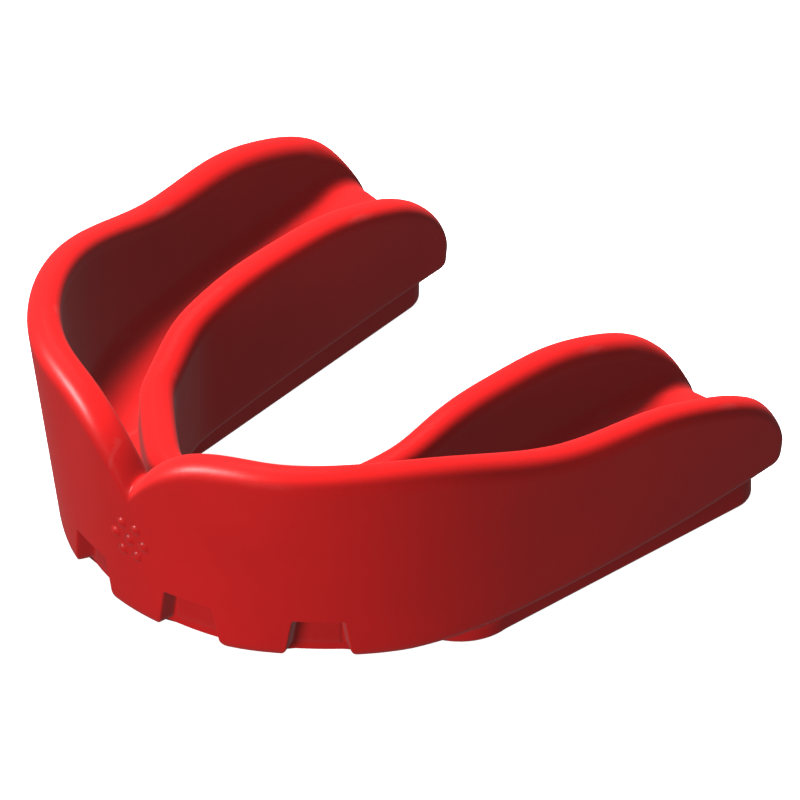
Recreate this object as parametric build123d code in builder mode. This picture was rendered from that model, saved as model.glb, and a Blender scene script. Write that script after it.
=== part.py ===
from build123d import *
import os

os.makedirs("parts", exist_ok=True)

# A boil-and-bite mouthguard, lying on its bite pads with the trough upwards.
# Millimetres. +Z is up, -Y is the front (the lips), +X is the wearer's left side when the guard
# is seen from above with the front towards the viewer. The origin is the middle of the guard's
# footprint, in the plane that the bite pads rest on.

# Overall size
LENGTH = 59.8                       # front of the lip wall to the back of the legs
MIDDLE = LENGTH / 2                 # from the front to the origin
CREST_LEVEL = 27.0                  # above the highest point of the lip rim
OVER = 5.0                          # how far cutting shapes run past what they cut
FULL_TURN = 360

# Layers
WALL = 3.5                          # lip and cheek wall, shell and liner together
TONGUE_WALL = 3.5                   # tongue-side wall, shell and liner together
SKIN = 2.0                          # outer shell alone
LINER = WALL - SKIN                 # fit liner
TONGUE_SKIN = TONGUE_WALL - LINER   # outer shell alone, tongue side
RIM_CAP = 1.8                       # solid shell above the top edge of the liner
FLOOR = 10.3                        # trough floor above the rest plane
FLOOR_SKIN = 1.5                    # shell between the liner and the rubber frame
FRAME_TOP = FLOOR - LINER - FLOOR_SKIN
FOOT = 1.1                          # underside of the front foot

# Softening radii
RIM_RADIUS = 1.0
PAD_RADIUS = 0.8

# Half outlines seen from above, from the middle of the front to past the back: (x, distance
# behind the front). The outer face leans outwards, so it has one outline at the rest plane and
# one at the crest.
FOOT_ARCH = [(0, 0.8), (9.0, 2.4), (14.0, 5.2), (20.4, 11.1), (24.9, 18.6), (27.5, 29.5),
             (28.9, 41.2), (29.6, 54.6), (29.8, 66)]
CREST_ARCH = [(0, -0.3), (9.3, 0.5), (16.0, 2.5), (23.4, 8.8), (28.0, 17.6), (30.9, 29.1),
              (32.6, 40.8), (34.1, 54.3), (34.7, 66)]
TONGUE_FOOT_ARCH = [(0, 9.5), (3.0, 10.3), (8.1, 14.5), (11.0, 18.0), (12.9, 22.5), (13.7, 28),
                    (14.5, 40), (15.4, 54), (15.8, 66)]
TONGUE_CREST_ARCH = [(0, 9.5), (3.0, 10.3), (8.1, 14.5), (11.0, 18.0), (12.9, 22.5), (13.3, 28),
                     (13.2, 40), (13.1, 54), (13.1, 66)]

# Side profiles: (distance behind the front, height)
CHEEK_RIM = [(-OVER, 24.2), (8, 24.9), (17, 23.9), (24, 21.9), (31, 20.0), (41, 19.2),
             (49, 17.3), (54.5, 15.0), (58.2, 11.3), (LENGTH, 7.2)]
TONGUE_RIM = [(0, 15.7), (16, 15.6), (20, 16.4), (25, 18.2), (30, 19.4), (36, 19.6), (42, 19.2),
              (48, 17.7), (55, 14.8), (LENGTH, 11.9)]
HEEL = [(LENGTH, 7.2), (59.5, 5.4), (58.4, 4.4)]        # rounded lower back corner
RIM_TANGENTS = ((1, 0.1), (0, -1))                      # at the front and at the back
HEEL_TANGENTS = ((0, -1), (-1, -0.1))
UNDERSIDE = [(58.4, 4.4), (48, 3.25), (37, 2.4), (26, 1.5), (14, FOOT)]
TONGUE_UNDERSIDE = [(0, 2.6), (25, 2.9), (32, 3.5), (40, 4.0), (49, 4.4), (62, 4.9)]

# V notch for the lip frenulum: half widths and heights of its sides
FRENULUM_NOTCH = [(0, 17.2), (2.0, 19.4), (4.5, 21.6), (7.0, 23.2), (9, 27)]

# Notches of the front foot, cut through the shell down to the rubber frame
NOTCH_PLACES = [((6.8, 1.5), 14), ((17.8, 8.2), 45)]    # (x, distance behind front), turn
NOTCH_TOP_WIDTH = 5.1
NOTCH_FOOT_WIDTH = 6.5
NOTCH_LEVEL = 5.8                   # top of the notches above the rest plane
NOTCH_REACH = 4.0                   # each way from the outer face

# Raised ornament low on the lip wall: one dome ringed by six
DOME_RADIUS = 0.75                  # of the ball that each dome is a part of
DOME_HEIGHT = 0.35                  # above the lip wall
DOME_PITCH = 1.9
DOME_LEVEL = 10.5                   # middle of the ornament above the rest plane
DOME_RING = 6                       # domes round the middle one

# Bite pad outline: corners (x, distance behind the front) and the tip of its round front end
PAD_TONGUE_REAR = (17.6, 59.3)
PAD_TONGUE_FRONT = (14.8, 25.5)
PAD_TIP = (20.4, 18.9)
PAD_CHEEK_FRONT = (26.0, 25.5)
PAD_CHEEK_REAR = (28.3, 59.3)
PAD_CORNER = 3.2
PAD_TOP = 6.8                       # buried in the underside, which trims it
FRAME_END = 57.0                    # back of the rubber frame, inside the shell's heel
TONGUE_TRIM = 4.6                   # reach of the tongue-side cuts from the tongue space


def placed(points):
    """Outline points in the part's own frame."""
    return [(x, y - MIDDLE) for x, y in points]


def arch_region(points, level, inset=0.0):
    """Region behind a symmetrical arch, open side well past the back of the legs."""
    half = placed(points)
    left = [(-x, y) for x, y in reversed(half[1:])]
    with BuildSketch(Plane.XY.offset(level)) as region:
        with BuildLine():
            arch = Spline(*left, *half)
            Line(arch @ 1, arch @ 0)
        make_face()
        if inset:
            corners = Kind.INTERSECTION if inset > 0 else Kind.ARC
            offset(amount=-inset, kind=corners)
    return region.sketch


def leaning_block(foot_points, crest_points, inset):
    """Everything behind one face of a wall, moved in by inset."""
    with BuildPart() as block:
        loft([arch_region(foot_points, 0, inset), arch_region(crest_points, CREST_LEVEL, inset)])
    return block.part


def side_block(outline):
    """A shape seen from the side, as wide as the whole guard."""
    with BuildPart() as block:
        with BuildSketch(Plane.YZ):
            with BuildLine():
                outline()
            make_face()
        extrude(amount=LENGTH, both=True)
    return block.part


def side_outline():
    """Body of the guard seen from the side, with its sloping underside and rounded heel."""
    rim = Spline(*[(y - MIDDLE, z) for y, z in CHEEK_RIM], tangents=RIM_TANGENTS)
    heel = Spline(*[(y - MIDDLE, z) for y, z in HEEL], tangents=HEEL_TANGENTS)
    underside = Spline(*[(y - MIDDLE, z) for y, z in UNDERSIDE])
    front = Polyline(underside @ 1, (-OVER - MIDDLE, FOOT), rim @ 0)


def above_tongue_rim():
    """What is cut away above the tongue-side wall."""
    rim = Spline(*[(y - MIDDLE, z) for y, z in TONGUE_RIM])
    Polyline(rim @ 1, (LENGTH, CREST_LEVEL + OVER), (-MIDDLE, CREST_LEVEL + OVER), rim @ 0)


def below_tongue_wall():
    """What is cut away under the tongue-side wall."""
    edge = Polyline(*[(y - MIDDLE, z) for y, z in TONGUE_UNDERSIDE])
    Polyline(edge @ 1, (TONGUE_UNDERSIDE[-1][0] - MIDDLE, -OVER), (-MIDDLE, -OVER), edge @ 0)


def frenulum_outline():
    """V notch in the lip rim, seen from the front."""
    right = Spline(*FRENULUM_NOTCH)
    left = Spline(*[(-x, z) for x, z in FRENULUM_NOTCH])
    Polyline(right @ 1, (right @ 1) + (0, OVER), (left @ 1) + (0, OVER), left @ 1)


def slab(bottom, top, rear=LENGTH + OVER):
    """Every point between two heights, in front of the given distance behind the front."""
    depth = rear + OVER
    with BuildPart() as block:
        with BuildSketch(Plane.XY.offset(bottom)):
            with Locations((0, depth / 2 - OVER - MIDDLE)):
                Rectangle(2 * LENGTH, depth)
        extrude(amount=top - bottom)
    return block.part


cheek_solid = leaning_block(FOOT_ARCH, CREST_ARCH, 0)
tongue_space = leaning_block(TONGUE_FOOT_ARCH, TONGUE_CREST_ARCH, 0)
tongue_side = leaning_block(TONGUE_FOOT_ARCH, TONGUE_CREST_ARCH, -TONGUE_TRIM)
side = side_block(side_outline)
tongue_rim_cut = tongue_side & side_block(above_tongue_rim)
tongue_foot_cut = tongue_side & side_block(below_tongue_wall)

with BuildPart() as frenulum_notch:
    with BuildSketch(Plane.XZ.offset(MIDDLE)):
        with BuildLine():
            frenulum_outline()
        make_face()
    extrude(amount=WALL + OVER, both=True)

# The whole guard above the pads, without its trough
with BuildPart() as body:
    add(cheek_solid)
    add(side, mode=Mode.INTERSECT)
    add(frenulum_notch.part, mode=Mode.SUBTRACT)
    lip_face = body.faces().sort_by(SortBy.AREA)[-1]
    rim_edges = lip_face.edges().filter_by(lambda edge: edge.center().Z > FLOOR + RIM_CAP)
    fillet(rim_edges, RIM_RADIUS)
    add(tongue_space, mode=Mode.SUBTRACT)
    add(tongue_rim_cut, mode=Mode.SUBTRACT)
    add(tongue_foot_cut, mode=Mode.SUBTRACT)

# The open trough that takes the teeth
with BuildPart() as trough:
    add(leaning_block(FOOT_ARCH, CREST_ARCH, WALL))
    add(leaning_block(TONGUE_FOOT_ARCH, TONGUE_CREST_ARCH, -TONGUE_WALL), mode=Mode.SUBTRACT)
    add(slab(FLOOR, CREST_LEVEL), mode=Mode.INTERSECT)

# Everything inside the outer skin, between the lip and tongue sides
with BuildPart() as core:
    add(leaning_block(FOOT_ARCH, CREST_ARCH, SKIN))
    add(leaning_block(TONGUE_FOOT_ARCH, TONGUE_CREST_ARCH, -TONGUE_SKIN), mode=Mode.SUBTRACT)

# Lining of the trough: it stops short of the rims, flush with the shell's inner faces
with BuildPart() as fit_liner:
    add(core.part)
    add(slab(FLOOR - LINER, CREST_LEVEL), mode=Mode.INTERSECT)
    add(body.part.moved(Location((0, 0, -RIM_CAP))), mode=Mode.INTERSECT)
    add(trough.part, mode=Mode.SUBTRACT)
fit_liner.part.label = "fit_liner"

# Rubber base under the trough, open to the underside and to the front notches
with BuildPart() as rubber_frame:
    add(core.part)
    add(slab(0, FRAME_TOP, FRAME_END), mode=Mode.INTERSECT)
    add(body.part, mode=Mode.INTERSECT)
rubber_frame.part.label = "rubber_frame"

# Trapezium cutters that leave the tabs of the front foot
with BuildPart() as foot_notches:
    for side_sign in (1, -1):
        for (x, behind_front), turn in NOTCH_PLACES:
            across = Vector(1, 0, 0).rotate(Axis.Z, turn * side_sign)
            outward = Vector(0, -1, 0).rotate(Axis.Z, turn * side_sign)
            place = Vector(x * side_sign, behind_front - MIDDLE, 0)
            face_plane = Plane(origin=place, x_dir=across, z_dir=outward)
            with BuildSketch(face_plane):
                with BuildLine():
                    Polyline((-NOTCH_FOOT_WIDTH / 2, 0), (-NOTCH_TOP_WIDTH / 2, NOTCH_LEVEL),
                             (NOTCH_TOP_WIDTH / 2, NOTCH_LEVEL), (NOTCH_FOOT_WIDTH / 2, 0), close=True)
                make_face()
            extrude(amount=NOTCH_REACH, both=True)

# Ornament low on the front of the lip wall: one dome ringed by six
face_level = DOME_LEVEL / CREST_LEVEL
lip_front = FOOT_ARCH[0][1] * (1 - face_level) + CREST_ARCH[0][1] * face_level
dome_depth = lip_front + DOME_RADIUS - DOME_HEIGHT - MIDDLE
ring = [Vector(DOME_PITCH, 0, 0).rotate(Axis.Y, FULL_TURN * step / DOME_RING) for step in range(DOME_RING)]
dome_places = [Vector(0, dome_depth, DOME_LEVEL) + offset for offset in [Vector(0, 0, 0)] + ring]

# Outer skin: cheek and lip wall, rolled rim, tongue-side wall and the floor's under-skin
with BuildPart() as outer_shell:
    add(body.part)
    add(trough.part, mode=Mode.SUBTRACT)
    add(fit_liner.part, mode=Mode.SUBTRACT)
    add(rubber_frame.part, mode=Mode.SUBTRACT)
    add(foot_notches.part, mode=Mode.SUBTRACT)
    with Locations(dome_places):
        Sphere(DOME_RADIUS)
outer_shell.part.label = "outer_shell"

# Bite pad under the left molars; its top follows the sloping underside
with BuildPart() as bite_pad_left:
    with BuildSketch():
        with BuildLine():
            tongue_rear, tongue_front, tip, cheek_front, cheek_rear = placed(
                [PAD_TONGUE_REAR, PAD_TONGUE_FRONT, PAD_TIP, PAD_CHEEK_FRONT, PAD_CHEEK_REAR])
            Line(tongue_rear, tongue_front)
            ThreePointArc(tongue_front, tip, cheek_front)
            Polyline(cheek_front, cheek_rear, tongue_rear)
        make_face()
    extrude(amount=PAD_TOP)
    heel_corners = bite_pad_left.edges().filter_by(Axis.Z).group_by(Axis.Y)[-1]
    fillet(heel_corners, PAD_CORNER)
    fillet(bite_pad_left.edges().group_by(Axis.Z)[0], PAD_RADIUS)
    add(body.part, mode=Mode.SUBTRACT)
bite_pad_left.part.label = "bite_pad_left"

# The right pad mirrors it
with BuildPart() as bite_pad_right:
    add(mirror(bite_pad_left.part, about=Plane.YZ, mode=Mode.PRIVATE))
bite_pad_right.part.label = "bite_pad_right"

for piece in (outer_shell, fit_liner, rubber_frame, bite_pad_left, bite_pad_right):
    export_step(piece.part, f"parts/{piece.part.label}.step")
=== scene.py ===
import bpy
import bmesh
import math
import numpy as np
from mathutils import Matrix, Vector


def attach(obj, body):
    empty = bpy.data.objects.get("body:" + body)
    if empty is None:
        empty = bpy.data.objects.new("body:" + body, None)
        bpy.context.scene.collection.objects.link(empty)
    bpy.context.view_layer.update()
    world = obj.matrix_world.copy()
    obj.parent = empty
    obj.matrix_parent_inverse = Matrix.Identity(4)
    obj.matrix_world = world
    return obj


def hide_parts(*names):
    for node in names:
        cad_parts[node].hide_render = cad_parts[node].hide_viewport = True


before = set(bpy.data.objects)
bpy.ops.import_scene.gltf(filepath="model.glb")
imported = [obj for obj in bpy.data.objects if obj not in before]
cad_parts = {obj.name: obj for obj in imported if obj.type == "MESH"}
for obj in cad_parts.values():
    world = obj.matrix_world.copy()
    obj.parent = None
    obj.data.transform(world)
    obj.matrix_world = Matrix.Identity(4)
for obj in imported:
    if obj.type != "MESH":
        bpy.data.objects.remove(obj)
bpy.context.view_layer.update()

# A boil-and-bite mouthguard. The dimensions below are in millimetres. Most repeat the ones that
# drive the CAD model; the rims, the front outline, the foot and its notches, the bite pads and
# the softening radii are shaped a little further here. Every mesh is scaled to metres as it is
# made. Distances behind the front run from the lip wall to the back of the legs.
MM = 0.001

LENGTH = 59.8                       # front of the lip wall to the back of the legs
MIDDLE = LENGTH / 2                 # from the front to the origin
CREST_LEVEL = 27.0                  # height of the upper outlines
WALL = 3.5                          # lip and cheek wall, shell and liner together
TONGUE_WALL = 3.5
LINER = 1.5
RIM_CAP = 1.9                       # solid shell above the top edge of the liner
SKIN = WALL - LINER                 # outer shell alone
TONGUE_SKIN = TONGUE_WALL - LINER
FLOOR = 10.3                        # trough floor above the rest plane
FRAME_TOP = 7.4
FOOT = 0.8                          # underside of the front foot
NOTCH_LEVEL = 5.9                   # top of the foot notches
WEB = 0.05                          # left of the shell behind a foot notch
NOTCH_DEPTH = SKIN - WEB
DEEPEST_WEB = 0.02                  # left of it where the foot's rounding adds to the notch

# Softening radii
LIP_RADIUS = 2.3                    # outer side of the lip and cheek rim
LIP_EASE = 0.5                      # how much smaller it becomes along the legs
LIP_EASE_START = 20
LIP_EASE_LENGTH = 25
RIM_RADIUS = 1.6                    # both sides of the tongue rim
TROUGH_RADIUS = 1.4
FOOT_RADIUS = 1.5
TONGUE_FOOT_RADIUS = 1.1
HEEL_RADIUS = 1.3
RIM_AT_MOST = 0.48                  # shares of a wall's height that its roundings may take
FOOT_AT_MOST = 0.45
FILLET_AT_MOST = 0.46               # share of the trough's width
HALF = 0.5
BLEND = 0.5                         # height over which two limits blend

# Half outlines from above: (x, distance behind the front), the same number of points in each,
# so that point n of one lies across the guard from point n of the others
FOOT_ARCH = [(0, 0.8), (4.7, 1.25), (9.0, 2.4), (14.0, 5.2), (20.4, 11.1), (24.9, 18.6),
             (27.5, 29.5), (28.9, 41.2), (29.6, 54.6), (29.8, 66)]
CREST_ARCH = [(0, -1.1), (4.8, -0.65), (9.3, 0.5), (16.0, 2.5), (23.4, 8.8), (28.0, 17.6),
              (30.9, 29.1), (32.6, 40.8), (34.1, 54.3), (34.7, 66)]
TONGUE_FOOT_ARCH = [(0, 9.5), (1.5, 9.75), (3.0, 10.3), (8.1, 14.5), (11.0, 18.0), (12.9, 22.5),
                    (13.7, 28), (14.5, 40), (15.4, 54), (15.8, 66)]
TONGUE_CREST_ARCH = [(0, 9.5), (1.5, 9.75), (3.0, 10.3), (8.1, 14.5), (11.0, 18.0), (12.9, 22.5),
                     (13.3, 28), (13.2, 40), (13.1, 54), (13.1, 66)]

# Heights against the distance behind the front
HEEL_TIP = 7.2
CHEEK_RIM = [(-5, 24.2), (8, 25.1), (17, 24.1), (24, 22.1), (31, 20.15), (41, 19.4), (49, 17.5),
             (54.4, 15.1), (56.8, 13.2), (58.2, 11.3), (59.1, 9.6), (LENGTH, HEEL_TIP)]
TONGUE_RIM = [(0, 15.7), (16, 15.6), (20, 16.4), (25, 18.1), (30, 19.3), (36, 19.6), (42, 19.4),
              (48, 18.1), (54, 15.6), (56.8, 13.3), (58.3, 11.3), (59.1, 9.6), (LENGTH, HEEL_TIP)]
UNDERSIDE = [(14, FOOT), (26, 1.5), (37, 2.4), (48, 3.25), (60, 4.45)]
TONGUE_UNDERSIDE = [(0, 2.6), (25, 2.9), (32, 3.5), (40, 4.0), (49, 4.4), (62, 4.9)]
FLOOR_END = 6.0                     # length of the floor's fall at the back of the legs
END_SLOPE = 4.0                     # extra drop of the rims' trough sides at the open ends
END_START = 52.0
HEEL_CORNER = 1.5
HEEL_FLOOR = 5.8                    # floor level at the very back
HEEL_WEB = 0.1                      # between that floor and the underside
REAR_BLEND_START = 42               # where the tongue rim starts to follow the cheek rim's stations
REAR_BLEND_LENGTH = 14

# Frenulum notch: how far the rim dips in the middle, and how quickly it recovers sideways
NOTCH_DIP = 7.9
NOTCH_SPREAD = 5.0
NOTCH_POINT = 0.35                  # softness of its point

# Front foot notches: distance of each middle along the crest, and half widths
FOOT_NOTCHES = [6.9, 22.0]
NOTCH_TOP_HALF = 2.6
NOTCH_FOOT_HALF = 3.7
TAB_CORNER = 1.3
EDGE_SOFTNESS = 0.5
SPREAD_EDGE = 0.4                   # each way from a notch's edge, moved all together
SPREAD_REACH = 2.1                  # from there to where nothing moves
TOP_FADE_START = 0.35               # below the notch's top
TOP_FADE_LENGTH = 0.45
FRAME_RISE = 0.95                   # of the frame's underside above the tabs' feet, at the front
FRAME_RISE_END = 14
FRAME_RISE_FADE = 8
NOTCH_FILL = 0.12                   # how far the frame swells into a foot notch
FILL_ABOVE = 0.2                    # of the swelling above the notch's top

# Ornament low on the lip wall
DOME_RADIUS = 0.75
DOME_HEIGHT = 0.35
DOME_PITCH = 1.9
DOME_RING = 6                       # domes round the middle one
DOME_TURN = math.radians(360 / DOME_RING)
RELIEF_LEVEL = 10.5
RELIEF_REACH = DOME_PITCH + DOME_RADIUS
RELIEF_ROWS = 45
DOME_PLACES = [(0, RELIEF_LEVEL)]
DOME_PLACES += [(DOME_PITCH * math.cos(DOME_TURN * step),
                 RELIEF_LEVEL + DOME_PITCH * math.sin(DOME_TURN * step))
                for step in range(DOME_RING)]

# Where the inner pieces stop, short of the back of the legs
LINER_LAP = 0.02                    # of the liner past its pocket's end, so that no slit shows
LINER_END = 2.2
FRAME_END = 2.8

# Spacing of the sections along the crest, as (from, to, step), and of the rows up the walls
FRONT_ZONES = [(0, 3, 0.12), (3, 12, 0.3), (12, 30, 0.4)]
LEG_START = 30
LEG_STEP = 0.8
END_ZONE = 8
END_STATIONS = 40
EDGE_ZONE = np.linspace(-0.42, 0.42, 13)
LEAST_STEP = 0.03
POCKET_STEP = 0.01                  # half the length of a pocket's end wall
END_GAP = 0.02                      # between the last section and the full length
ARC_TRIES = 4000
NORMAL_STEP = 0.05                  # each way along an outline, to find its direction
RIM_START = 15.0                    # height up to which the front rows are level
EVEN_START = 28                     # distance along the crest where rows start to share the wall's height
EVEN_LENGTH = 8
FRAME_SIDE_ROWS = 10
WELD = 0.002                        # vertices closer than this are one
SHARP = math.radians(50)            # edges with a larger bend stay sharp


def cubic(knots, values, where):
    """Natural cubic spline through the values at the knots, read at where."""
    x = np.asarray(knots, float)
    y = np.asarray(values, float)
    h = np.diff(x)
    n = len(x)
    system = np.eye(n)
    right = np.zeros(n)
    for i in range(1, n - 1):
        system[i, i - 1:i + 2] = h[i - 1], 2 * (h[i - 1] + h[i]), h[i]
        right[i] = 6 * ((y[i + 1] - y[i]) / h[i] - (y[i] - y[i - 1]) / h[i - 1])
    m = np.linalg.solve(system, right)
    where = np.asarray(where, float)
    i = np.clip(np.searchsorted(x, where) - 1, 0, n - 2)
    a = x[i + 1] - where
    b = where - x[i]
    return (m[i] * a ** 3 + m[i + 1] * b ** 3) / (6 * h[i]) \
        + (y[i] / h[i] - m[i] * h[i] / 6) * a + (y[i + 1] / h[i] - m[i + 1] * h[i] / 6) * b


def smooth_step(value):
    """0 below 0, 1 above 1, smooth between."""
    v = np.clip(value, 0, 1)
    return v * v * (3 - 2 * v)


def soft_min(a, b, softness):
    """The lower of two heights, blended over softness."""
    gap = np.maximum(softness - np.abs(a - b), 0) / softness
    return np.minimum(a, b) - gap ** 2 * softness / 4


def rounding(gap, radius):
    """How far a face draws in near an edge that has this radius, gap away from the edge."""
    left = np.clip(radius - gap, 0, radius)
    return radius - np.sqrt(radius ** 2 - left ** 2)


# Distances along the crest, from the middle of the front, of the outline points
CHORDS = np.hypot(*np.diff(np.array(CREST_ARCH), axis=0).T)
ARC_KNOTS = np.concatenate([[0], np.cumsum(CHORDS)])


def arch_curve(points):
    """Function from distance along the crest (either side) to x, y of an outline."""
    half = np.array(points, float)
    knots = np.concatenate([-ARC_KNOTS[:0:-1], ARC_KNOTS])
    xs = np.concatenate([-half[:0:-1, 0], half[:, 0]])
    ys = np.concatenate([half[:0:-1, 1], half[:, 1]])

    def curve(arc):
        return np.stack([cubic(knots, xs, arc), cubic(knots, ys, arc)], -1)
    return curve


FOOT_CURVE = arch_curve(FOOT_ARCH)
CREST_CURVE = arch_curve(CREST_ARCH)
TONGUE_FOOT_CURVE = arch_curve(TONGUE_FOOT_ARCH)
TONGUE_CREST_CURVE = arch_curve(TONGUE_CREST_ARCH)


def outward(curve, arc):
    """Unit normals of an outline, pointing out of the arch."""
    along = curve(arc + NORMAL_STEP) - curve(arc - NORMAL_STEP)
    along /= np.linalg.norm(along, axis=-1, keepdims=True)
    return np.stack([along[..., 1], -along[..., 0]], -1)


def cheek_point(arc, height, inset):
    """Point inset from the outer face at a height."""
    share = (height / CREST_LEVEL)[..., None]
    place = FOOT_CURVE(arc) * (1 - share) + CREST_CURVE(arc) * share
    normal = outward(CREST_CURVE, arc)
    flat = place - normal * inset[..., None]
    return np.concatenate([flat, height[..., None]], -1)


def tongue_point(arc, height, inset):
    """Point inset from the tongue-side face at a height, towards the trough."""
    share = (height / CREST_LEVEL)[..., None]
    place = TONGUE_FOOT_CURVE(arc) * (1 - share) + TONGUE_CREST_CURVE(arc) * share
    normal = outward(TONGUE_FOOT_CURVE, arc)
    flat = place + normal * inset[..., None]
    return np.concatenate([flat, height[..., None]], -1)


def profile(points, behind):
    """Height along a side profile that ends in an upright tangent at the back of the legs."""
    where, heights = zip(*points)
    knots = -np.sqrt(np.maximum(LENGTH - np.array(where), 0))
    return cubic(knots, heights, -np.sqrt(np.maximum(LENGTH - behind, 0)))


def rim_heights(arc):
    """Heights of the cheek rim, tongue rim, floor and both undersides at each station."""
    crest = CREST_CURVE(arc)
    behind = np.minimum(crest[..., 1], LENGTH)
    nearer = TONGUE_CREST_CURVE(arc)[..., 1]
    rear = (behind - REAR_BLEND_START) / REAR_BLEND_LENGTH
    tongue_behind = np.minimum(nearer + (behind - nearer) * smooth_step(rear), LENGTH)
    dip = NOTCH_DIP * np.exp(-np.sqrt(crest[..., 0] ** 2 + NOTCH_POINT ** 2) / NOTCH_SPREAD)
    cheek = profile(CHEEK_RIM, behind) - dip
    tongue = profile(TONGUE_RIM, tongue_behind)
    drop = rounding(LENGTH - behind, FLOOR_END) * (FLOOR - HEEL_FLOOR) / FLOOR_END
    floor = np.minimum(FLOOR - drop, np.minimum(cheek, tongue))
    slope = np.interp(behind, *zip(*UNDERSIDE))
    below = slope + rounding(LENGTH - behind, HEEL_CORNER) * (HEEL_FLOOR - HEEL_WEB - slope) / HEEL_CORNER
    tongue_below = np.maximum(np.interp(tongue_behind, *zip(*TONGUE_UNDERSIDE)), below)
    return cheek, tongue, floor, below, tongue_below


def notch_half(height):
    """Half width of the foot notches at a height, with the tabs' corners rounded off."""
    share = np.clip(height / NOTCH_LEVEL, 0, 1)
    corner = rounding(height - FOOT, TAB_CORNER)
    return NOTCH_FOOT_HALF + (NOTCH_TOP_HALF - NOTCH_FOOT_HALF) * share + corner


def notch_mask(arc):
    """1 inside a foot notch, 0 on the tabs, by distance along the arch at the notch's top."""
    mask = np.zeros_like(arc)
    for middle in FOOT_NOTCHES:
        for sign in (-1, 1):
            reach = np.abs(arc - sign * middle) - NOTCH_TOP_HALF
            mask = np.maximum(mask, 1 - smooth_step(reach / EDGE_SOFTNESS + 0.5))
    return mask


def notch_spread(arc, height):
    """Distance along the arch once the notch's slanting sides are allowed for."""
    grow = notch_half(height) - NOTCH_TOP_HALF
    moved = np.array(arc)
    for middle in FOOT_NOTCHES:
        for sign in (-1, 1):
            gap = arc - sign * middle
            side = [-NOTCH_TOP_HALF + shift for shift in (-SPREAD_REACH, -SPREAD_EDGE, SPREAD_EDGE)]
            other_side = [-place for place in side[::-1]]
            moved = moved + grow * np.interp(gap, side + other_side, [0, -1, -1, 1, 1, 0])
    return moved


def station_arcs():
    """Distances along the arch of the sections: close together at notches and ends."""
    fine = [np.arange(*zone) for zone in FRONT_ZONES]
    fine.append(np.arange(LEG_START, ARC_END - END_ZONE, LEG_STEP))
    fine.append(ARC_END - END_ZONE * (1 - np.sin(np.linspace(0, math.pi / 2, END_STATIONS))))
    for middle in FOOT_NOTCHES:
        for edge in (middle - NOTCH_TOP_HALF, middle + NOTCH_TOP_HALF):
            fine.append(edge + EDGE_ZONE)
    half = np.unique(np.round(np.concatenate(fine), 4))
    half = half[np.concatenate([[True], np.diff(half) > LEAST_STEP])]
    half[-1] = ARC_END
    steps = [arc_at(LENGTH - gap + side)
             for gap in (LINER_END, FRAME_END) for side in (-POCKET_STEP, POCKET_STEP)]
    half = np.sort(np.concatenate([half, steps]))
    return np.concatenate([-half[:0:-1], half])


def arc_at(behind):
    """Distance along the crest of a point of the legs, from its distance behind the front."""
    tries = np.linspace(LEG_START, ARC_KNOTS[-1], ARC_TRIES)
    return float(np.interp(behind, CREST_CURVE(tries)[:, 1], tries))


ARC_END = arc_at(LENGTH - END_GAP)


def sections(arc):
    """The U section's measures at each station."""
    cheek, tongue, floor, below, tongue_below = rim_heights(arc)
    behind = CREST_CURVE(arc)[:, 1]
    lip = LIP_RADIUS - LIP_EASE * smooth_step((behind - LIP_EASE_START) / LIP_EASE_LENGTH)
    plan = rounding(LENGTH - behind, HEEL_RADIUS)
    zero = np.zeros_like(arc)
    open_end = END_SLOPE * smooth_step((behind - END_START) / (LENGTH - END_START))
    span = np.linalg.norm(cheek_point(arc, floor, zero + WALL)
                          - tongue_point(arc, floor, zero + TONGUE_WALL), axis=-1)
    return {
        "arc": arc, "cheek": cheek, "tongue": tongue, "floor": floor,
        "below": below, "tongue_below": tongue_below, "zero": zero,
        "plan": plan, "crest": lip + plan / 2,
        "lip_drop": np.minimum(lip, RIM_AT_MOST * (cheek - below)),
        "inner_drop": half_at_most(WALL - lip + open_end, cheek - floor),
        "rim_drop": half_at_most(RIM_RADIUS + open_end, tongue - floor),
        "tongue_drop": np.minimum(RIM_RADIUS, RIM_AT_MOST * (tongue - tongue_below)),
        "foot_rise": np.minimum(FOOT_RADIUS, FOOT_AT_MOST * (cheek - below)),
        "tongue_rise": np.minimum(TONGUE_FOOT_RADIUS, FOOT_AT_MOST * (tongue - tongue_below)),
        "fillet": np.minimum(TROUGH_RADIUS, FILLET_AT_MOST * span),
        "fillet_rise": half_at_most(TROUGH_RADIUS, cheek - floor),
        "fillet_rise_tongue": half_at_most(TROUGH_RADIUS, tongue - floor),
        "lined": (behind < LENGTH - LINER_END).astype(float),
        "framed": (behind < LENGTH - FRAME_END).astype(float),
    }


def half_at_most(radius, height):
    """A rounding's height, reduced where the wall is too low for it."""
    return soft_min(np.zeros_like(height) + radius, HALF * np.maximum(height, 0), BLEND)


def quarter(count):
    """Sines and cosines of a quarter turn, from 0 to 90 degrees."""
    angles = np.linspace(0, math.pi / 2, count)
    return list(zip(np.sin(angles), np.cos(angles)))


def on_cheek(cut, height, inset):
    """Point of the outer face, with the heel's rounding and the foot notches."""
    rise = 1 - smooth_step((height - NOTCH_LEVEL + TOP_FADE_START) / TOP_FADE_LENGTH)
    pocket = NOTCH_DEPTH * rise * notch_mask(cut["arc"])
    deeper = np.minimum(inset + pocket, np.maximum(SKIN - DEEPEST_WEB, inset))
    return cheek_point(notch_spread(cut["arc"], height), height, deeper + cut["plan"])


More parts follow.
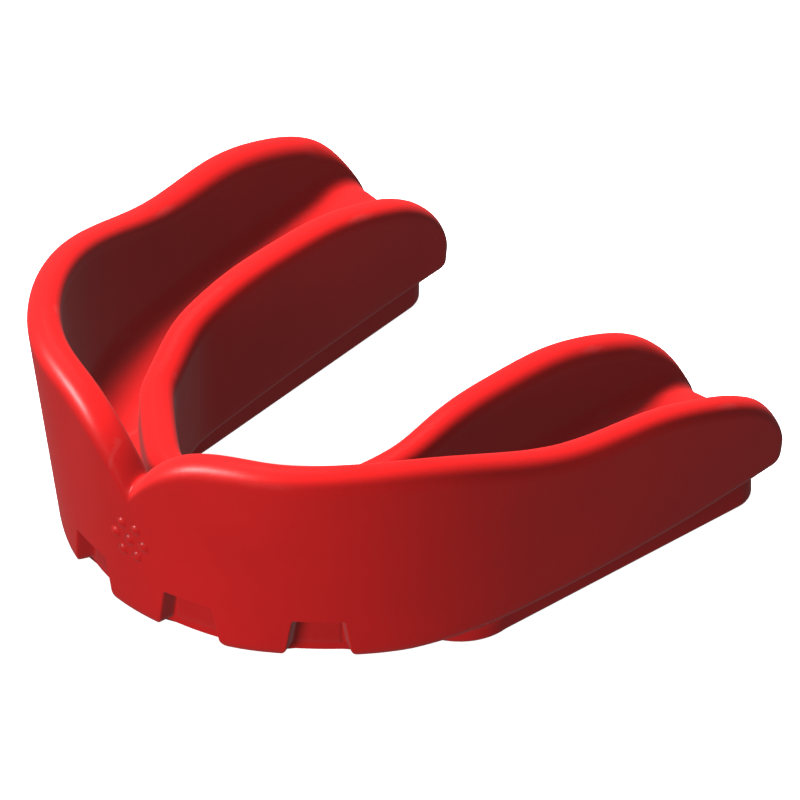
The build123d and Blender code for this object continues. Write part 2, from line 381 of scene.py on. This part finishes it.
def outer_rows(cut):
    """Rounded foot, outer face and rolled rim of the lip and cheek wall."""
    cheek, below, zero = cut["cheek"], cut["below"], cut["zero"]
    rise, drop = cut["foot_rise"], cut["lip_drop"]
    rows = [on_cheek(cut, below + rise * (1 - c), FOOT_RADIUS * (1 - s))
            for s, c in quarter(10)]
    low, high = below + rise, cheek - drop
    relief_low, relief_high = RELIEF_LEVEL - RELIEF_REACH, RELIEF_LEVEL + RELIEF_REACH
    levels = [np.linspace(FOOT + FOOT_RADIUS, NOTCH_LEVEL - 0.5, 6)[1:],
              np.linspace(NOTCH_LEVEL - 0.45, NOTCH_LEVEL + 0.2, 12),
              np.linspace(NOTCH_LEVEL + 0.4, relief_low, 4),
              np.linspace(relief_low, relief_high, RELIEF_ROWS)[1:]]
    levels = np.concatenate(levels)
    front_share = (levels - FOOT - FOOT_RADIUS) / (RIM_START - FOOT - FOOT_RADIUS)
    even = smooth_step((np.abs(cut["arc"]) - EVEN_START) / EVEN_LENGTH)
    for level, share in zip(levels, front_share):
        rows.append(raised(on_cheek(cut, level * (1 - even) + (low + (high - low) * share) * even, zero)))
    last = levels[-1] * (1 - even) + (low + (high - low) * front_share[-1]) * even
    for share in np.linspace(0, 1, 16)[1:]:
        rows.append(on_cheek(cut, last * (1 - share) + high * share, zero))
    across = cut["crest"] - cut["plan"]
    rows += [on_cheek(cut, cheek - drop * (1 - s), across * (1 - c))
             for s, c in quarter(14)[1:]]
    return rows


def raised(points):
    """Points of the lip wall with its ornament added: one dome ringed by six."""
    for x, z in DOME_PLACES:
        apart = np.hypot(points[:, 0] - x, points[:, 2] - z)
        dome = np.sqrt(np.maximum(DOME_RADIUS ** 2 - apart ** 2, 0)) - (DOME_RADIUS - DOME_HEIGHT)
        points[:, 1] -= np.maximum(dome, 0)
    return points


def trough_rows(cut, extra):
    """The trough's surface from lip side to tongue side, or a surface deeper by extra."""
    arc, zero, floor = cut["arc"], cut["zero"], cut["floor"]
    top = np.maximum(np.minimum(cut["cheek"] - RIM_CAP, cut["cheek"] - cut["inner_drop"]),
                     floor + cut["fillet_rise"])
    tongue_top = np.maximum(np.minimum(cut["tongue"] - RIM_CAP, cut["tongue"] - cut["rim_drop"]),
                            floor + cut["fillet_rise_tongue"])
    fillet, rise, rise_tongue = cut["fillet"], cut["fillet_rise"], cut["fillet_rise_tongue"]
    rows = []
    for share in np.linspace(0, 1, 18):
        rows.append(cheek_point(arc, top * (1 - share) + (floor + rise) * share, WALL - extra))
    for s, c in quarter(10)[1:]:
        inset = WALL + fillet - (fillet + extra) * c
        rows.append(cheek_point(arc, floor + rise - (rise + extra) * s, inset))
    far = tongue_point(arc, floor - extra, TONGUE_WALL + fillet)
    near = rows[-1]
    for share in np.linspace(0, 1, 12)[1:]:
        rows.append(near * (1 - share) + far * share)
    for s, c in quarter(10)[1:]:
        rows.append(tongue_point(arc, floor + rise_tongue - (rise_tongue + extra) * c,
                                 TONGUE_WALL + fillet - (fillet + extra) * s))
    for share in np.linspace(0, 1, 14)[1:]:
        height = (floor + rise_tongue) * (1 - share) + tongue_top * share
        rows.append(tongue_point(arc, height, TONGUE_WALL - extra))
    return rows


def frame_rows(cut, depth):
    """Sides and top of the rubber frame, from the lip side's foot to the tongue side's."""
    arc, below, tongue_below = cut["arc"], cut["below"], cut["tongue_below"]
    rows = []
    for share in np.linspace(0, 1, FRAME_SIDE_ROWS):
        rows.append(cheek_point(arc, below + (FRAME_TOP - below) * share * depth, SKIN + cut["plan"]))
    corner = rows[-1]
    far = tongue_point(arc, tongue_below + (FRAME_TOP - tongue_below) * depth, TONGUE_SKIN + cut["plan"])
    for share in np.linspace(0, 1, 8)[1:]:
        rows.append(corner * (1 - share) + far * share)
    for share in np.linspace(0, 1, 8)[1:]:
        height = tongue_below + (FRAME_TOP - tongue_below) * (1 - share) * depth
        rows.append(tongue_point(arc, height, TONGUE_SKIN + cut["plan"]))
    return rows


def shell_rows(cut):
    """Section of the outer shell, with its pockets for the liner and the frame."""
    arc, zero = cut["arc"], cut["zero"]
    rows = outer_rows(cut)
    cheek, drop, crest = cut["cheek"], cut["inner_drop"], cut["crest"]
    rows += [cheek_point(arc, cheek - drop * (1 - c), crest + (WALL - crest) * s)
             for s, c in quarter(12)[1:]]
    rows += trough_rows(cut, zero)[:1]
    rows += trough_rows(cut, LINER * cut["lined"])
    rows += trough_rows(cut, zero)[-1:]
    tongue, drop, heel = cut["tongue"], cut["rim_drop"], cut["plan"]
    crest = RIM_RADIUS + heel / 2
    inner_crest = np.maximum(TONGUE_WALL - RIM_RADIUS, crest)
    rows += [tongue_point(arc, tongue - drop * (1 - s), TONGUE_WALL - (TONGUE_WALL - inner_crest) * (1 - c))
             for s, c in quarter(12)]
    drop, rise = cut["tongue_drop"], cut["tongue_rise"]
    rows += [tongue_point(arc, tongue - drop * (1 - c), heel + (crest - heel) * (1 - s))
             for s, c in quarter(12)]
    low, high = cut["tongue_below"] + rise, tongue - drop
    rows += [tongue_point(arc, high * (1 - share) + low * share, zero + heel)
             for share in np.linspace(0, 1, 20)[1:]]
    rows += [tongue_point(arc, low - rise * s, TONGUE_FOOT_RADIUS * (1 - c) + heel)
             for s, c in quarter(8)[1:]]
    rows += frame_rows(cut, cut["framed"])[::-1]
    return np.array(rows)


def liner_rows(cut):
    """Section of the fit liner."""
    return np.array(trough_rows(cut, cut["zero"]) + trough_rows(cut, LINER + cut["zero"])[::-1])


def rubber_rows(cut):
    """Section of the rubber frame, which fills the foot notches up to the shell's skin."""
    behind = CREST_CURVE(cut["arc"])[:, 1]
    raised_foot = cut["below"] + FRAME_RISE * (1 - smooth_step((behind - FRAME_RISE_END) / FRAME_RISE_FADE))
    rows = frame_rows({**cut, "below": raised_foot}, 1.0)
    mask = notch_mask(cut["arc"])
    for row in rows[:FRAME_SIDE_ROWS]:
        bulge = NOTCH_FILL * mask * (row[:, 2] < NOTCH_LEVEL + FILL_ABOVE)
        row[:, :2] += outward(CREST_CURVE, cut["arc"]) * bulge[:, None]
    return np.array(rows)


def loop_mesh(name, rows):
    """Closed tube through loops of points: rows[i][j] is point i of loop j, in millimetres."""
    count, stations, _ = rows.shape
    points = (rows - np.array([0, MIDDLE, 0])) * MM
    i, j = np.meshgrid(np.arange(count), np.arange(stations - 1), indexing="ij")
    i, j = i.ravel(), j.ravel()
    following = (i + 1) % count
    faces = np.stack([i * stations + j, i * stations + j + 1, following * stations + j + 1,
                      following * stations + j], -1).tolist()
    faces += [[k * stations + end for k in range(count)] for end in (0, stations - 1)]
    mesh = bpy.data.meshes.new(name)
    mesh.from_pydata(points.reshape(-1, 3).tolist(), [], faces)
    work = bmesh.new()
    work.from_mesh(mesh)
    bmesh.ops.remove_doubles(work, verts=work.verts, dist=WELD * MM)
    bmesh.ops.recalc_face_normals(work, faces=work.faces)
    work.to_mesh(mesh)
    work.free()
    mesh.shade_smooth()
    mesh.set_sharp_from_angle(angle=SHARP)
    piece = bpy.data.objects.new(name, mesh)
    bpy.context.collection.objects.link(piece)
    return piece


def stations_up_to(gap):
    """Sections from one leg to the other, stopping a gap short of the back of the legs."""
    arcs = station_arcs()
    inside = CREST_CURVE(arcs)[:, 1] < LENGTH - gap
    return sections(arcs[inside])


shell = loop_mesh("shell", shell_rows(sections(station_arcs())))
liner = loop_mesh("liner", liner_rows(stations_up_to(LINER_END - LINER_LAP)))
rubber = loop_mesh("rubber", rubber_rows(stations_up_to(FRAME_END)))

# Bite pad outline: corners (x, distance behind the front) and the centre of its round front end
PAD_TONGUE_REAR = np.array([17.6, 59.3])
PAD_TONGUE_FRONT = np.array([14.8, 25.5])
PAD_CHEEK_FRONT = np.array([26.7, 25.5])
PAD_CHEEK_REAR = np.array([28.7, 59.2])
PAD_END_CENTRE = np.array([20.75, 24.88])
PAD_END_RADIUS = 5.98
PAD_CORNER = 3.2
PAD_RADIUS = 0.8
PAD_BURY = 0.5                      # depth of the pad's top inside the underside
PAD_END_POINTS = 33
PAD_CORNER_POINTS = 13
PAD_SIDE_POINTS = 31


def rounded_corner(before, corner, after, count):
    """Points of a round corner between two straight sides."""
    back = (before - corner) / np.linalg.norm(before - corner)
    ahead = (after - corner) / np.linalg.norm(after - corner)
    half = np.arccos(back @ ahead) / 2
    middle = (back + ahead) / np.linalg.norm(back + ahead)
    centre = corner + middle * PAD_CORNER / np.sin(half)
    first = corner + back * PAD_CORNER / np.tan(half) - centre
    last = corner + ahead * PAD_CORNER / np.tan(half) - centre
    share = np.linspace(0, 1, count)[:, None]
    rays = first * (1 - share) + last * share
    return centre + PAD_CORNER * rays / np.linalg.norm(rays, axis=1)[:, None]


def pad_outline():
    """Closed outline of the left pad seen from above, anticlockwise from the tongue side's front."""
    start = np.arctan2(*(PAD_TONGUE_FRONT - PAD_END_CENTRE)[::-1])
    stop = np.arctan2(*(PAD_CHEEK_FRONT - PAD_END_CENTRE)[::-1])
    turn = np.linspace(start - 2 * np.pi, stop, PAD_END_POINTS)
    end = PAD_END_CENTRE + PAD_END_RADIUS * np.stack([np.cos(turn), np.sin(turn)], -1)
    cheek = rounded_corner(PAD_CHEEK_FRONT, PAD_CHEEK_REAR, PAD_TONGUE_REAR, PAD_CORNER_POINTS)
    tongue = rounded_corner(PAD_CHEEK_REAR, PAD_TONGUE_REAR, PAD_TONGUE_FRONT, PAD_CORNER_POINTS)
    share = np.linspace(0, 1, PAD_SIDE_POINTS)[1:-1, None]
    cheek_side = PAD_CHEEK_FRONT * (1 - share) + cheek[0] * share
    tongue_side = tongue[-1] * (1 - share) + PAD_TONGUE_FRONT * share
    return np.concatenate([end, cheek_side, cheek, tongue, tongue_side])


def pad_mesh(name, side):
    """Bite pad with a soft lower edge; its top lies inside the sloping underside."""
    outline = pad_outline()
    along = np.roll(outline, -1, axis=0) - np.roll(outline, 1, axis=0)
    inward = np.stack([-along[:, 1], along[:, 0]], -1) / np.linalg.norm(along, axis=1)[:, None]
    top = np.interp(outline[:, 1], *np.array(UNDERSIDE).T) + PAD_BURY
    levels = [(PAD_RADIUS * (1 - s), PAD_RADIUS * (1 - c)) for s, c in quarter(8)]
    loops = [np.column_stack([outline + inward * inset, np.full(len(outline), level)])
             for inset, level in levels]
    loops += [np.column_stack([outline, PAD_RADIUS * (1 - share) + top * share]) for share in (0.5, 1)]
    rows = np.array(loops).transpose(1, 0, 2)
    rows[..., 0] *= side
    return loop_mesh(name, rows)


# Elastomer: name, base colour, roughness and height of its fine grain in millimetres
SHELL_LOOK = ("shell_elastomer", (0.80, 0.014, 0.014), 0.36, 0.010)
LINER_LOOK = ("liner_elastomer", (0.78, 0.016, 0.016), 0.44, 0.014)
FRAME_LOOK = ("frame_rubber", (0.72, 0.015, 0.015), 0.46, 0.016)
PAD_LOOK = ("pad_rubber", (0.74, 0.015, 0.015), 0.44, 0.016)
CLOUD_SCALE = 90                    # features per metre
CLOUD_DETAIL = 3
CLOUD_DARK = 0.3                    # noise levels between which the clouds lighten
CLOUD_FULL = 0.7
GRAIN_SCALE = 2600
GRAIN_DETAIL = 2
DARKEST_SHARE = 0.90                # of the base colour, in the clouds
ROUGHNESS_SPREAD = 0.05
WORN_EDGE = 0.03                    # extra roughness and lightness of convex edges
EDGE_START = 0.52                   # pointiness where the wear starts, and where it is full
EDGE_END = 0.62
SOFT_SHEEN = 0.015


def linked(tree, kind, sources=(), values=()):
    """New node with its inputs linked to sockets or set to values."""
    node = tree.nodes.new(kind)
    for key, socket in sources:
        tree.links.new(socket, node.inputs[key])
    for key, value in values:
        node.inputs[key].default_value = value
    return node


def elastomer(name, colour, roughness, grain):
    """Moulded red elastomer with faint clouding, fine grain and slightly rubbed edges."""
    material = bpy.data.materials.new(name)
    material.use_nodes = True
    tree = material.node_tree
    shader = tree.nodes["Principled BSDF"]
    place = tree.nodes.new("ShaderNodeTexCoord").outputs["Object"]
    convex = tree.nodes.new("ShaderNodeNewGeometry").outputs["Pointiness"]
    clouds = linked(tree, "ShaderNodeTexNoise", [("Vector", place)],
                    [("Scale", CLOUD_SCALE), ("Detail", CLOUD_DETAIL)])
    grit = linked(tree, "ShaderNodeTexNoise", [("Vector", place)],
                  [("Scale", GRAIN_SCALE), ("Detail", GRAIN_DETAIL)])
    edges = linked(tree, "ShaderNodeMapRange", [("Value", convex)],
                   [("From Min", EDGE_START), ("From Max", EDGE_END), ("To Max", WORN_EDGE)])
    tint = tree.nodes.new("ShaderNodeValToRGB")
    dark, full = tint.color_ramp.elements
    dark.position = CLOUD_DARK
    full.position = CLOUD_FULL
    dark.color = (*(part * DARKEST_SHARE for part in colour), 1)
    full.color = (*colour, 1)
    tree.links.new(clouds.outputs["Fac"], tint.inputs["Fac"])
    rubbed = linked(tree, "ShaderNodeMix", [("Factor", edges.outputs["Result"])])
    rubbed.data_type = "RGBA"
    tree.links.new(tint.outputs["Color"], rubbed.inputs["A"])
    tree.links.new(rubbed.outputs["Result"], shader.inputs["Base Color"])
    spread = linked(tree, "ShaderNodeMapRange", [("Value", clouds.outputs["Fac"])],
                    [("To Min", roughness - ROUGHNESS_SPREAD), ("To Max", roughness + ROUGHNESS_SPREAD)])
    rough = linked(tree, "ShaderNodeMath", [(0, spread.outputs["Result"]), (1, edges.outputs["Result"])])
    tree.links.new(rough.outputs["Value"], shader.inputs["Roughness"])
    bump = linked(tree, "ShaderNodeBump", [("Height", grit.outputs["Fac"])], [("Distance", grain * MM)])
    tree.links.new(bump.outputs["Normal"], shader.inputs["Normal"])
    shader.inputs["Sheen Weight"].default_value = SOFT_SHEEN
    return material


PIECES = [(shell, "outer_shell", "shell", elastomer(*SHELL_LOOK)),
          (liner, "fit_liner", "liner", elastomer(*LINER_LOOK)),
          (rubber, "rubber_frame", "frame", elastomer(*FRAME_LOOK))]
pad_look = elastomer(*PAD_LOOK)
PIECES += [(pad_mesh("pad_left", 1), "bite_pad_left", "pad", pad_look),
           (pad_mesh("pad_right", -1), "bite_pad_right", "pad", pad_look)]

# The light is as flat as a catalogue picture's: none of it bounces from one wall to the next
for piece, node, slot, look in PIECES:
    piece.data.materials.append(look)
    piece.visible_diffuse = False
    piece.visible_glossy = False
    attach(piece, "root")
    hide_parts(node)

# Camera: orthographic, 45 degrees from the front towards the wearer's left, 36 degrees up
CAMERA_TURN = math.radians(45)
CAMERA_RISE = math.radians(36.16)
VIEW_WIDTH = 78.05 * MM
AIM = Vector((0, 37.39 - MIDDLE, 8.06)) * MM
CAMERA_DISTANCE = 0.3
CAMERA_CLIP = 0.01
camera_data = bpy.data.cameras.new("camera")
camera_data.type = "ORTHO"
camera_data.ortho_scale = VIEW_WIDTH
camera_data.clip_start = CAMERA_CLIP
camera = bpy.data.objects.new("camera", camera_data)
bpy.context.collection.objects.link(camera)
towards = Vector((math.sin(CAMERA_TURN) * math.cos(CAMERA_RISE),
                  -math.cos(CAMERA_TURN) * math.cos(CAMERA_RISE),
                  math.sin(CAMERA_RISE)))
camera.location = AIM + towards * CAMERA_DISTANCE
camera.rotation_euler = (math.pi / 2 - CAMERA_RISE, 0, CAMERA_TURN)
bpy.context.scene.camera = camera

# Plain pale floor. It glows a little, which hides the shadow on it, and lights nothing.
FLOOR_REACH = 2.0                   # metres, each way
FLOOR_DROP = 0.0001                 # below the rest plane
FLOOR_PALE = 0.9
FLOOR_GLOW = 0.9
FLOOR_ROUGHNESS = 0.9
floor_mesh = bpy.data.meshes.new("floor")
floor_corners = [(-FLOOR_REACH, -FLOOR_REACH, 0), (FLOOR_REACH, -FLOOR_REACH, 0),
                 (FLOOR_REACH, FLOOR_REACH, 0), (-FLOOR_REACH, FLOOR_REACH, 0)]
floor_mesh.from_pydata(floor_corners, [], [(0, 1, 2, 3)])
floor = bpy.data.objects.new("floor", floor_mesh)
bpy.context.collection.objects.link(floor)
floor.location.z = -FLOOR_DROP
floor_paint = bpy.data.materials.new("floor_paint")
floor_paint.use_nodes = True
floor_shader = floor_paint.node_tree.nodes["Principled BSDF"]
floor_shader.inputs["Base Color"].default_value = (FLOOR_PALE, FLOOR_PALE, FLOOR_PALE, 1)
floor_shader.inputs["Roughness"].default_value = FLOOR_ROUGHNESS
floor_shader.inputs["Emission Color"].default_value = (1, 1, 1, 1)
floor_shader.inputs["Emission Strength"].default_value = FLOOR_GLOW
floor.data.materials.append(floor_paint)
floor.visible_diffuse = False
floor.visible_glossy = False

# Soft white surroundings
AMBIENT = 0.13
world = bpy.data.worlds.new("studio")
bpy.context.scene.world = world
world.use_nodes = True
world.node_tree.nodes["Background"].inputs["Color"].default_value = (1, 1, 1, 1)
world.node_tree.nodes["Background"].inputs["Strength"].default_value = AMBIENT
bpy.context.scene.view_settings.view_transform = "Standard"


def soft_light(name, place, size, watts, glint=False):
    """Square area light aimed at the guard. A glint shows only in reflections, the others never do."""
    data = bpy.data.lights.new(name, "AREA")
    data.shape = "SQUARE"
    data.size = size
    data.energy = watts
    light = bpy.data.objects.new(name, data)
    light.location = place
    light.rotation_euler = (-Vector(place)).to_track_quat("-Z", "Y").to_euler()
    light.visible_glossy = glint
    light.visible_diffuse = not glint
    bpy.context.collection.objects.link(light)


# Metres and watts
soft_light("key", (-0.33, 0.06, 0.55), 0.25, 9.6)
soft_light("front", (0.08, -0.6, 0.12), 0.25, 2.1)
soft_light("glint", (-0.34, -0.4, 0.3), 0.14, 2.0, glint=True)
